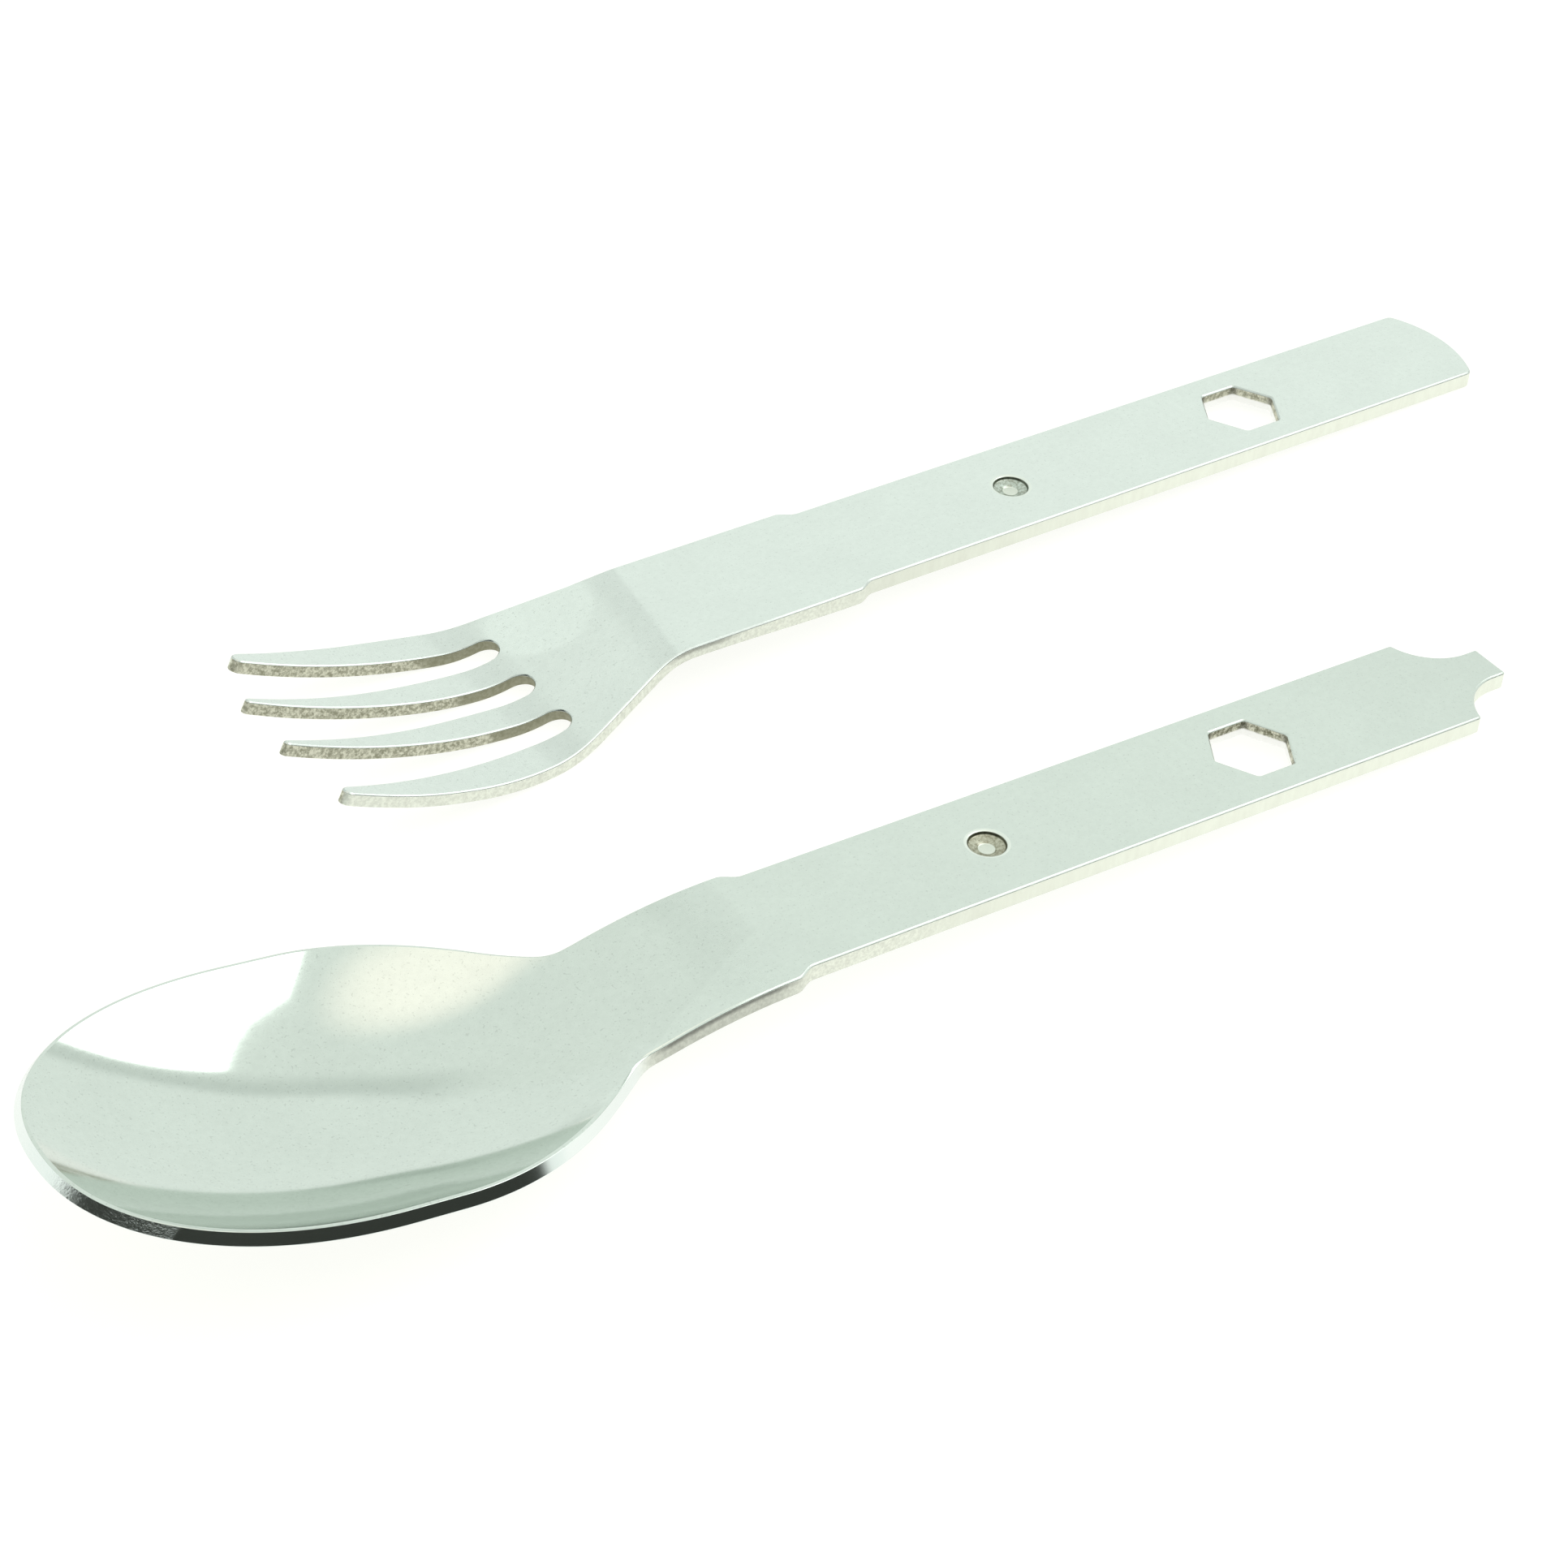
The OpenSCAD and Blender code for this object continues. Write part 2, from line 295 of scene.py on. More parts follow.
def tine_tip(start, end, tip_x):
    """The rounded end of a tine, from one edge to the other."""
    middle = (start[1] + end[1]) / 2
    half = (start[1] - end[1]) / 2
    length = start[0] + tip_x
    angles = np.radians(np.linspace(12, 168, 13))
    return [(start[0] - length * sin(a), middle + half * cos(a)) for a in angles]


def tine_edges():
    """Each tine from the far one to the near one: its upper edge in plan, its lower edge, its tip."""
    half_slot = SLOT_W / 2
    far_tines = [
        (fork_half, lambda x: SLOT_PITCH + half_slot + opened(x, SIDE_OUT_OPEN), FAR_TIP_X),
        (
            lambda x: SLOT_PITCH - half_slot - opened(x, SIDE_IN_OPEN),
            lambda x: half_slot + opened(x, CENTRE_OPEN),
            INNER_TIP_X,
        ),
    ]
    near_tines = [
        (lambda x, low=low: -low(x), lambda x, up=up: -up(x), tip_x)
        for (up, low, _), tip_x in zip(reversed(far_tines), (INNER_TIP_X, NEAR_TIP_X))
    ]
    return far_tines + near_tines


def edge_points(edge, start_x, end_x):
    """Points along an edge y = edge(x), half a millimetre apart."""
    step = 0.5 if end_x > start_x else -0.5
    return [(x, float(edge(x))) for x in np.arange(start_x, end_x, step)]


def fork_outline():
    """The rounded end, then the tines one by one with the slots' round roots between them."""
    root_cx = -SLOT_ROOT_X - SLOT_W / 2
    neck_x = -SHOULDER_X + SHOULDER_LEN
    end_cx = FORK_END_X - FORK_END_R
    end_angle = np.degrees(asin(HANDLE_W / 2 / FORK_END_R))
    end_arc = arc((end_cx, 0), FORK_END_R, -end_angle + 3, end_angle - 3, 24)
    end_corner = arc((end_cx, 0), FORK_END_R, end_angle, end_angle, 1)[0]
    rounded = corner(end_arc[-1], end_corner, (0, HANDLE_W / 2), 0.8)
    points = end_arc + rounded
    tines = tine_edges()
    for i, (up, low, tip_x) in enumerate(tines):
        start_x = -tip_x + TINE_CAP_RATIO * float(up(-tip_x + 1) - low(-tip_x + 1)) / 2
        points += edge_points(up, neck_x if i == 0 else root_cx, start_x)
        tip_start, tip_end = (start_x, float(up(start_x))), (start_x, float(low(start_x)))
        points += [tip_start] + tine_tip(tip_start, tip_end, tip_x) + [tip_end]
        if i == len(tines) - 1:
            points += edge_points(low, start_x + 0.5, neck_x)
        else:
            points += edge_points(low, start_x + 0.5, root_cx)
            root_y = float(low(root_cx)) - SLOT_W / 2
            points += arc((root_cx, root_y), SLOT_W / 2, 90, -90, 20)
    return points + mirrored(rounded)


def shoulder_shift(x):
    """How far towards the bowl the spoon's near side is moved, so that its shoulder is in its place."""
    (start, start_len), (end, end_len) = NEAR_SHIFT_FADES
    return NEAR_SHOULDER_SHIFT * float(smooth((start - x) / start_len) * smooth((x - end) / end_len))


def spoon_outline():
    notch_x = BLADE_END_X - BLADE_LEN
    notch_y = BLADE_W / 2 + NOTCH_R
    drop = notch_y - HANDLE_W / 2
    corner_x = notch_x - sqrt(NOTCH_R ** 2 - drop ** 2)
    corner_angle = 180 + np.degrees(asin(drop / NOTCH_R))
    blade = corner((BLADE_END_X, 0), (BLADE_END_X, BLADE_W / 2), (notch_x, BLADE_W / 2), 0.45)
    notch = arc((notch_x, notch_y), NOTCH_R, 270, corner_angle + 4, 24)
    shoulder = corner(notch[-1], (corner_x, HANDLE_W / 2), (0, HANDLE_W / 2), 0.5)
    neck_xs = np.arange(-SHOULDER_X + SHOULDER_LEN, -BOWL_MID_X, -0.5)
    sides = [(x, float(bowl_side(x))) for x in neck_xs]
    angles = np.radians(np.linspace(0, 90, 90))
    power = 2 / FULLNESS
    tip = [
        (-BOWL_MID_X - BOWL_TIP_LEN * sin(a) ** power, BOWL_HALF_W * max(0.0, cos(a)) ** power)
        for a in angles
    ]
    half = blade + notch + shoulder + sides + tip
    return half + [(x - shoulder_shift(x), y) for x, y in mirrored(half)[1:]]


# ---------------------------------------------------------------- skins


def inside(points, loops):
    """Which points lie inside the outer outline and outside the holes."""
    hit = np.zeros(len(points), bool)
    for loop in loops:
        for (x0, y0), (x1, y1) in zip(loop, np.roll(loop, -1, 0)):
            if y0 == y1:
                continue
            crosses = (points[:, 1] >= min(y0, y1)) & (points[:, 1] < max(y0, y1))
            at = x0 + (points[:, 1] - y0) / (y1 - y0) * (x1 - x0)
            hit ^= crosses & (points[:, 0] < at)
    return hit


def clear_of(points, loops, gap):
    """Which points are at least gap from every outline point."""
    keep = np.ones(len(points), bool)
    for loop in loops:
        for start in range(0, len(loop), 64):
            part = loop[start:start + 64]
            near = ((points[:, None] - part[None]) ** 2).sum(2).min(1) < gap ** 2
            keep &= ~near
    return keep


def filled(loops, step):
    """Triangles that fill the outlines: (plan points, triangles). The outlines' points come first."""
    outline = np.concatenate(loops)
    low, high = outline.min(0), outline.max(0)
    xs, ys = np.arange(low[0], high[0], step), np.arange(low[1] + step / 2, high[1], step)
    grid = np.stack(np.meshgrid(xs, ys, indexing="ij"), -1).reshape(-1, 2)
    grid = grid[inside(grid, loops)]
    grid = grid[clear_of(grid, loops, 0.55 * step)]
    points = np.concatenate([outline, grid])
    edges, start = [], 0
    for loop in loops:
        count = len(loop)
        edges += [(start + i, start + (i + 1) % count) for i in range(count)]
        start += count
    made = delaunay_2d_cdt([Vector(p) for p in points], edges, [], 0, 1e-6)
    if len(made[0]) != len(points):
        raise ValueError("an outline crosses itself")
    faces = np.array(made[2])
    centres = points[faces].mean(1)
    return points, faces[inside(centres, loops)]


class Skin:
    """Collects the points, normals, faces and depths of one closed piece."""

    def __init__(self, height, thickness):
        self.height, self.thickness = height, thickness
        self.points, self.normals, self.depths = [], [], []
        self.faces, self.places = [], []
        self.count = 0

    def add(self, points, normals, depths):
        first = self.count
        self.points.append(points)
        self.normals.append(normals)
        self.depths.append(np.broadcast_to(depths, (len(points),)))
        self.count += len(points)
        return np.arange(first, self.count)

    def face(self, *corners, place):
        self.faces.append([int(c) for c in corners])
        self.places.append(place)

    def upper(self, plan):
        x, y = plan[:, 0], plan[:, 1]
        normals = surface_normal(self.height, x, y)
        return np.stack([x, y, self.height(x, y)], -1), normals

    def surface(self, loops, up):
        """The upper or the lower face. Returns the vertex numbers of each outline."""
        plan, triangles = filled(loops, SURFACE_STEP)
        points, normals = self.upper(plan)
        depth = self.thickness(plan[:, 0])
        if up:
            ids = self.add(points, normals, 0.0)
        else:
            ids = self.add(points - depth[:, None] * normals, -normals, depth)
        for a, b, c in triangles:
            turn = np.cross(plan[b] - plan[a], plan[c] - plan[a]) > 0
            order = (a, b, c) if turn == up else (a, c, b)
            self.face(*ids[list(order)], place=SHEET)
        starts = np.cumsum([0] + [len(loop) for loop in loops])
        return [ids[a:b] for a, b in zip(starts, starts[1:])]

    def strip(self, first, second, place):
        """Joins two closed rows of vertices. The first is above, and the sheet is on its left."""
        for i in range(len(first)):
            j = (i + 1) % len(first)
            self.face(first[i], second[i], second[j], first[j], place=place)

    def wall(self, plan, outward, top_ids, bottom_ids, top_roll, bottom_roll):
        """The cut edge along an outline, rolled over at both faces of the sheet."""
        base, normal = self.upper(plan)
        along = np.concatenate([outward, np.zeros((len(plan), 1))], 1)
        along -= (along * normal).sum(1, keepdims=True) * normal
        along /= np.linalg.norm(along, axis=1, keepdims=True)
        depth = self.thickness(plan[:, 0])[:, None]
        last = top_ids
        for out_part, down_part, degrees in TOP_SECTION:
            a = radians(degrees)
            out, down = top_roll * out_part, top_roll * down_part
            facing = sin(a) * along + cos(a) * normal
            row = self.add(base + out * along - down * normal, facing, down[:, 0])
            self.strip(last, row, SHEET)
            last = row
        for k in range(ROLL_STEPS):
            a = pi / 2 * (1 - k / ROLL_STEPS)
            out = top_roll * sin(a)
            down = depth - bottom_roll * (1 - cos(a))
            facing = sin(a) * along - cos(a) * normal
            row = self.add(base + out * along - down * normal, facing, down[:, 0])
            self.strip(last, row, EDGE)
            last = row
        self.strip(last, bottom_ids, EDGE)

    def turned(self, ids, profile, up, place):
        """A round recess or boss at the dimple: rows of vertices down a profile of (radius, height)."""
        count = len(ids)
        angles = np.radians(-np.arange(count) * 360 / count)
        ring = np.stack([np.cos(angles), np.sin(angles), 0 * angles], 1)
        last = ids
        sign = 1 if up else -1
        slopes = np.gradient(np.array(profile, float), axis=0)
        for (r, z), (dr, dz) in zip(profile[1:], slopes[1:]):
            lean = np.array([dz, 0, -dr]) / np.hypot(dr, dz)
            normals = ring * lean[0] + np.array([0, 0, lean[2]])
            points = ring * r + np.array([-DIMPLE_X, 0, z])
            if r <= 0:
                middle = self.add(points[:1], np.array([[0, 0, float(sign)]]), abs(z))[0]
                for i in range(count):
                    j = (i + 1) % count
                    order = (last[i], middle, last[j]) if up else (last[j], middle, last[i])
                    self.face(*order, place=place)
                return
            row = self.add(points, sign * normals, abs(z))
            for i in range(count):
                j = (i + 1) % count
                order = (last[i], row[i], row[j], last[j])
                self.face(*(order if up else order[::-1]), place=place)
            last = row

    def made(self, name, matrix, materials):
        """The finished object, moved from the piece's own plan to its place in the frame."""
        mesh = bpy.data.meshes.new(name)
        plan = np.concatenate(self.points)
        turn, shift = np.array(matrix.to_3x3()), np.array(matrix.translation)
        mesh.from_pydata((plan * MM @ turn.T + shift).tolist(), [], self.faces)
        for material in materials:
            mesh.materials.append(material)
        mesh.polygons.foreach_set("material_index", self.places)
        mesh.polygons.foreach_set("use_smooth", [True] * len(self.faces))
        depth = mesh.attributes.new("depth", "FLOAT", "POINT")
        depth.data.foreach_set("value", np.concatenate(self.depths).astype(np.float32))
        own = mesh.attributes.new("plan", "FLOAT_VECTOR", "POINT")
        own.data.foreach_set("vector", plan.astype(np.float32).ravel())
        mesh.update()
        normals = np.concatenate(self.normals) @ turn.T
        mesh.normals_split_custom_set_from_vertices(normals.tolist())
        made = bpy.data.objects.new(name, mesh)
        bpy.context.scene.collection.objects.link(made)
        return made


def outward_of(loop):
    """Unit vectors away from the sheet, in plan, at each outline point."""
    side = np.roll(loop, -1, 0) - loop
    side /= np.linalg.norm(side, axis=1, keepdims=True)
    right = np.stack([side[:, 1], -side[:, 0]], 1)
    mean = right + np.roll(right, 1, 0)
    return mean / np.linalg.norm(mean, axis=1, keepdims=True)


def rounded_steps(points):
    """A turned profile of (radius, height) with its corners softened."""
    out = [points[0]]
    for before, at, after in zip(points, points[1:], points[2:]):
        reach = 0.4 * min(np.hypot(*np.subtract(before, at)), np.hypot(*np.subtract(after, at)))
        out += corner(before, at, after, min(reach, 0.18), 3)
    return out + [points[-1]]


def sheet_piece(name, matrix, outline, height, thickness, rolls, materials):
    """One pressed piece: both faces, the cut edges, the hexagon hole, the recess and the boss."""
    skin = Skin(height, thickness)
    through = [resampled(outline, OUTLINE_STEP), resampled(hexagon_outline(), OUTLINE_STEP)]
    outs = [outward_of(loop) for loop in through]
    top_rolls = [rolls(loop)[0][:, None] for loop in through]
    bottom_rolls = [rolls(loop)[1][:, None] for loop in through]
    inset = [loop - out * roll for loop, out, roll in zip(through, outs, top_rolls)]
    top = skin.surface(inset + [np.array(circle_outline(RECESS[0][0]))], up=True)
    bottom = skin.surface(inset + [np.array(circle_outline(BOSS[0][0]))], up=False)
    for i in range(2):
        skin.wall(inset[i], outs[i], top[i], bottom[i], top_rolls[i], bottom_rolls[i])
    sheet_t = float(thickness(0.0))
    boss = [(r, z - sheet_t) for r, z in BOSS]
    skin.turned(top[2], rounded_steps(RECESS), up=True, place=DIMPLE)
    skin.turned(bottom[2], rounded_steps(boss), up=False, place=SHEET)
    return skin.made(name, matrix, materials)


# ---------------------------------------------------------------- the record's places


def mount(record, name):
    found = next(m for m in record["mounts"] if m["name"] == name)
    return Vector(found["pos_m"]), Vector(found["axis"]).normalized()


def piece_frame(record, piece):
    """Where a piece's own plan lies in the frame, and the thickness of its sheet in mm."""
    hexagon, up = mount(record, piece + "_hexagon")
    recess, _ = mount(record, piece + "_recess")
    boss, _ = mount(record, piece + "_boss")
    sheet_t = (recess - boss).dot(up)
    ahead = hexagon - recess
    ahead = (ahead - ahead.dot(up) * up).normalized()
    origin = hexagon + sheet_t / 2 * up
    turn = Matrix((ahead, up.cross(ahead), up)).transposed()
    return Matrix.Translation(origin) @ turn.to_4x4(), sheet_t / MM


# ---------------------------------------------------------------- materials


class Graph:
    """Short names for building one node tree."""

    def __init__(self, tree):
        self.tree = tree
        tree.nodes.clear()

    def node(self, kind, settings=(), **inputs):
        made = self.tree.nodes.new(kind)
        for key, value in dict(settings).items():
            setattr(made, key, value)
        for key, value in inputs.items():
            self.set(made.inputs[key.replace("_", " ")], value)
        return made

    def set(self, socket, value):
        if isinstance(value, bpy.types.NodeSocket):
            self.tree.links.new(value, socket)
        else:
            socket.default_value = value

    def math(self, operation, a, b=0.0):
        made = self.node("ShaderNodeMath", {"operation": operation})
        self.set(made.inputs[0], a)
        self.set(made.inputs[1], b)
        return made.outputs[0]

    def between(self, value, start, end, low=0.0, high=1.0):
        """low where value is start, high where it is end, and an S curve between."""
        made = self.node("ShaderNodeMapRange", {"interpolation_type": "SMOOTHSTEP"})
        for key, number in (("Value", value), ("From Min", start), ("From Max", end),
                            ("To Min", low), ("To Max", high)):
            self.set(made.inputs[key], number)
        return made.outputs["Result"]

    def mix(self, factor, a, b):
        made = self.node("ShaderNodeMix", {"data_type": "RGBA"})
        self.set(made.inputs[0], factor)
        self.set(made.inputs[6], a)
        self.set(made.inputs[7], b)
        return made.outputs[2]

    def shade(self, color, factor):
        """The colour made lighter or darker."""
        made = self.node("ShaderNodeVectorMath", {"operation": "SCALE"})
        self.set(made.inputs[0], color)
        self.set(made.inputs["Scale"], factor)
        return made.outputs[0]

    def scaled(self, vector, scale):
        made = self.node("ShaderNodeVectorMath", {"operation": "MULTIPLY"})
        self.set(made.inputs[0], vector)
        self.set(made.inputs[1], scale)
        return made.outputs[0]

    def noise(self, vector, scale, detail=3.0, roughness=0.55):
        made = self.node("ShaderNodeTexNoise", Vector=vector, Scale=scale, Detail=detail,
                         Roughness=roughness)
        return made.outputs[0]


def new_material(name):
    material = bpy.data.materials.new(name)
    material.use_nodes = True
    return material, Graph(material.node_tree)


def metal(graph, color, roughness, height, distance, strength):
    bump = graph.node("ShaderNodeBump", Height=height, Distance=distance, Strength=strength)
    shader = graph.node("ShaderNodeBsdfPrincipled", Base_Color=color, Metallic=1.0,
                        Roughness=roughness, Normal=bump.outputs[0])
    graph.node("ShaderNodeOutputMaterial", Surface=shader.outputs[0])


def plan_parts(graph):
    """The piece's own coordinates in mm: all three, x alone and y alone."""
    position = graph.node("ShaderNodeAttribute", {"attribute_name": "plan"}).outputs["Vector"]
    split = graph.node("ShaderNodeSeparateXYZ", Vector=position)
    return position, split.outputs[0], split.outputs[1]


def depth_of(graph):
    """How deep a point lies below the upper face, in mm."""
    return graph.node("ShaderNodeAttribute", {"attribute_name": "depth"}).outputs["Fac"]


def both(graph, first, second):
    """1 only where both factors are 1."""
    return graph.math("MULTIPLY", first, second)


def far_from(graph, x, y, centre):
    """The distance in plan from a centre."""
    place = graph.node("ShaderNodeCombineXYZ", X=x, Y=y)
    made = graph.node("ShaderNodeVectorMath", {"operation": "DISTANCE"})
    graph.set(made.inputs[0], place.outputs[0])
    graph.set(made.inputs[1], (*centre, 0.0))
    return made.outputs["Value"]


def sheet_tone(graph, position, base):
    """Faintly blotched steel with fine dark specks."""
    blotch = graph.noise(position, 0.11, 4.0, 0.6)
    fine = graph.noise(position, 1.1, 3.0, 0.7)
    tone = graph.mix(blotch, tuple(0.955 * c for c in base), tuple(1.045 * c for c in base))
    tone = graph.shade(tone, graph.between(fine, 0.3, 0.7, 0.98, 1.02))
    specks = graph.between(graph.noise(position, 3.1, 2.0, 0.5), 0.62, 0.7, 1.0, 0.86)
    return graph.shade(tone, specks)


def finish_sheet(graph, position, tone, roughness):
    """Brushed along the handle: the lines change the roughness and the relief."""
    lines = graph.noise(graph.scaled(position, (0.05, 4.0, 4.0)), 1.0, 4.0)
    grain = graph.noise(position, 2.6, 2.0, 0.7)
    change = graph.between(lines, 0.3, 0.7, 0.9, 1.1)
    relief = graph.math("ADD", graph.math("MULTIPLY", lines, 0.6), graph.math("MULTIPLY", grain, 0.3))
    metal(graph, tone, graph.math("MULTIPLY", roughness, change), relief, 0.000003, 0.25)


def spoon_sheet():
    """Satin handle, then a brighter polished bowl with a darker tongue that runs up into the neck."""
    material, graph = new_material("spoon_sheet")
    position, x, y = plan_parts(graph)
    tone = sheet_tone(graph, position, SPOON_STEEL)
    wander = graph.math("MULTIPLY", graph.noise(position, 0.12, 2.0), 1.5)
    near = graph.math("MINIMUM", graph.math("ADD", y, 0.5), 0.0)
    edge_x = graph.math("ADD", graph.math("MULTIPLY", near, 2.2), -73.3)
    past = graph.math("ADD", graph.math("SUBTRACT", x, edge_x), wander)
    tongue = graph.between(past, 1.0, -1.0)
    tone = graph.shade(tone, graph.between(tongue, 0.0, 1.0, 1.0, 0.965))
    tone = graph.shade(tone, graph.between(x, 5.0, 40.0, 1.0, 0.95))
    roughness = graph.between(x, -72.0, -92.0, 0.33, 0.085)
    finish_sheet(graph, position, tone, roughness)
    return material


def fork_sheet():
    """Satin handle, then a head with painted shade and highlight where it bends and is dished:
    a darker bend line, a slightly darker head, a lighter dished middle and a dark band at the tines' roots.

    The rolled upper edge, which has a depth, is painted darker to dim its highlight, and most at the bend.
    """
    material, graph = new_material("fork_sheet")
    position, x, y = plan_parts(graph)
    tone = sheet_tone(graph, position, FORK_STEEL)
    wander = graph.math("MULTIPLY", graph.noise(position, 0.3, 2.0), 1.6)
    # Painted shade along the bend line and, fainter, over the head beyond it, for the bent sheet's darker
    # reflection.
    from_crease = graph.math("SUBTRACT", x, graph.math("MULTIPLY", y, 0.153))
    sharp_side = graph.between(from_crease, -99.0, -100.1)
    soft_side = graph.between(graph.math("ADD", from_crease, wander), -104.5, -100.5)
    head = graph.between(from_crease, -99.2, -100.4)
    crease_painted_shade = both(graph, sharp_side, soft_side)
    tone = graph.shade(tone, graph.between(crease_painted_shade, 0.0, 1.0, 1.0, 0.94))
    tone = graph.shade(tone, graph.between(head, 0.0, 1.0, 1.0, 0.97))
    # A painted highlight on the dished middle of the head.
    dish_painted_light_reach = graph.math("ADD", far_from(graph, x, y, (-110.0, 9.0)), wander)
    tone = graph.shade(tone, graph.between(dish_painted_light_reach, 8.4, 7.0, 1.0, 1.07))
    # Painted shade in a band by the tines' roots, where the sheet bends back.
    root = graph.math("ADD", x, wander)
    root_painted_shade = both(graph, graph.between(root, -124.0, -121.0), graph.between(root, -114.0, -118.5))
    tone = graph.shade(tone, graph.between(root_painted_shade, 0.0, 1.0, 1.0, 0.93))
    # Painted shade on the rolled upper edge, which dims its highlight, and most at the bend.
    depth = depth_of(graph)
    at_bend = both(graph, graph.between(x, -80.0, -92.0), graph.between(x, -105.0, -100.0))
    edge_painted_shade = graph.between(at_bend, 0.0, 1.0, 0.8, 0.66)
    tone = graph.mix(graph.between(depth, 0.0, 0.03), tone, graph.shade(tone, edge_painted_shade))
    roughness = graph.between(x, -96.0, -104.0, 0.33, 0.25)
    finish_sheet(graph, position, tone, roughness)
    return material


def outside_edge(graph, position, x, depth, pits, neck):
    """The tone of the outer cut edge: cream and streaked, mottled by the neck and darker along it."""
    start, end, wall_factor, strip_factor = neck
    streaks = graph.noise(graph.scaled(position, (1.0, 1.0, 0.25)), 0.9, 4.0, 0.65)
    outside = graph.mix(streaks, *SHEARED)
    outside = graph.shade(outside, graph.between(x, -90.0, -10.0, 0.97, 1.13))
    mottled = graph.shade(outside, graph.between(pits, 0.36, 0.64, 0.92, 1.14))
    outside = graph.mix(graph.between(x, start + 28, start + 12), outside, mottled)
    along_neck = both(graph, graph.between(x, start + 3, start - 3), graph.between(x, end - 2, end + 2))
    dark = graph.between(depth, 1.05, 0.4, wall_factor, strip_factor)
    return graph.mix(along_neck, outside, graph.shade(outside, dark))


def edge_material(name, torn_dark, neck, polished_from=None):
    """Cut edges: cream outside, torn inside the holes and slots, polished beyond x = polished_from.
    With painted shade at the slots' roots and the hexagon's corners, and a painted highlight low in the
    hexagon.

    torn_dark is the darkest tone of the torn walls, and neck is SPOON_NECK or FORK_NECK.
    """
    material, graph = new_material(name)
    position, x, y = plan_parts(graph)
    depth = depth_of(graph)
    pits = graph.noise(position, 1.9, 4.0, 0.75)
    side = graph.math("ABSOLUTE", y)
    from_hexagon = far_from(graph, x, y, (0.0, 0.0))
    hexagon = graph.between(from_hexagon, 7.4, 6.8)
    spread = graph.math("MULTIPLY", graph.math("ADD", x, SLOT_ROOT_X), -0.088)
    between_tines = graph.between(graph.math("SUBTRACT", side, spread), 12.9, 12.3)
    slot = both(graph, between_tines, graph.between(x, -112.0, -113.0))
    outside = outside_edge(graph, position, x, depth, pits, neck)
    torn = graph.mix(graph.between(pits, 0.36, 0.64), torn_dark, TORN_LIGHT)
    # Painted shade on the slot walls, darker towards the slots' roots.
    by_root = graph.between(x, -127.5, -124.5)
    slot_tone = graph.mix(graph.math("MULTIPLY", by_root, 0.8), torn, SLOT_ROOT_SHADE)
    # Painted shade in the hexagon's corners, then a painted highlight, near white, low on its wall.
    corners = graph.between(from_hexagon, 5.3, 5.75, 1.0, 0.45)
    hexagon_tone = graph.shade(torn, corners)
    hexagon_tone = graph.mix(graph.between(depth, 1.15, 1.45), hexagon_tone, HEXAGON_LIT)
    tone = graph.mix(slot, outside, slot_tone)
    tone = graph.mix(hexagon, tone, hexagon_tone)
    inner = graph.math("MAXIMUM", slot, hexagon)
    rough = graph.between(inner, 0.0, 1.0, 0.42, 0.6)
    relief = graph.math("MULTIPLY", pits, inner)
    if polished_from is not None:
        ground = graph.between(x, polished_from + 2, polished_from - 2)
        tone = graph.mix(ground, tone, GROUND_RIM)
        rough = graph.math("MULTIPLY", rough, graph.between(ground, 0.0, 1.0, 1.0, 0.25))
    metal(graph, tone, rough, relief, 0.00006, 0.7)
    return material


def dimple_material(name, tint):
    """The punched recess: a wall painted near black as shade, a mottled slope and a brighter disc at the
    bottom.
    """
    material, graph = new_material(name)
    position, _, _ = plan_parts(graph)
    depth = depth_of(graph)
    pits = graph.noise(position, 1.7, 4.0, 0.7)
    lip = (0.75, 0.8, 0.74, 1)
    # Painted shade: the wall's near-black tones stand for the shade in the recess, mottled like pitted
    # metal.
    wall = graph.mix(pits, (0.08, 0.08, 0.05, 1), (0.2, 0.21, 0.15, 1))
    slope = graph.mix(graph.between(pits, 0.35, 0.65), (0.3, 0.3, 0.22, 1), (0.62, 0.64, 0.53, 1))
    disc = graph.mix(pits, (0.62, 0.66, 0.58, 1), (0.8, 0.84, 0.76, 1))
    wall, slope = graph.scaled(wall, tint), graph.scaled(slope, tint)
    tone = graph.mix(graph.between(depth, 0.1, 0.2), lip, wall)
    tone = graph.mix(graph.between(depth, 0.4, 0.52), tone, slope)
    tone = graph.mix(graph.between(depth, 0.84, 0.94), tone, disc)
    metal(graph, tone, graph.between(pits, 0.3, 0.7, 0.3, 0.45), pits, 0.00003, 0.5)
    return material


def floor_material():
    """Overexposed white table: mostly its own light, so that shadows stay as faint as in the photograph."""
    material, graph = new_material("pale_floor")
    coords = graph.node("ShaderNodeTexCoord").outputs["Object"]
    cloud = graph.noise(coords, 3.0, 2.0)
    tone = graph.mix(cloud, (0.2, 0.2, 0.21, 1), (0.23, 0.23, 0.24, 1))
    shader = graph.node("ShaderNodeBsdfPrincipled", Base_Color=tone, Roughness=0.9)
    graph.set(shader.inputs["Specular IOR Level"], 0.1)
    graph.set(shader.inputs["Emission Color"], (1.0, 1.0, 0.95, 1))
    graph.set(shader.inputs["Emission Strength"], 0.88)
    graph.node("ShaderNodeOutputMaterial", Surface=shader.outputs[0])
    return material


# ---------------------------------------------------------------- studio


def direction(azimuth, elevation):
    """A unit vector; azimuth is from +X towards +Y, and both angles are in degrees."""
    a, e = radians(azimuth), radians(elevation)
    return Vector((cos(a) * cos(e), sin(a) * cos(e), sin(e)))


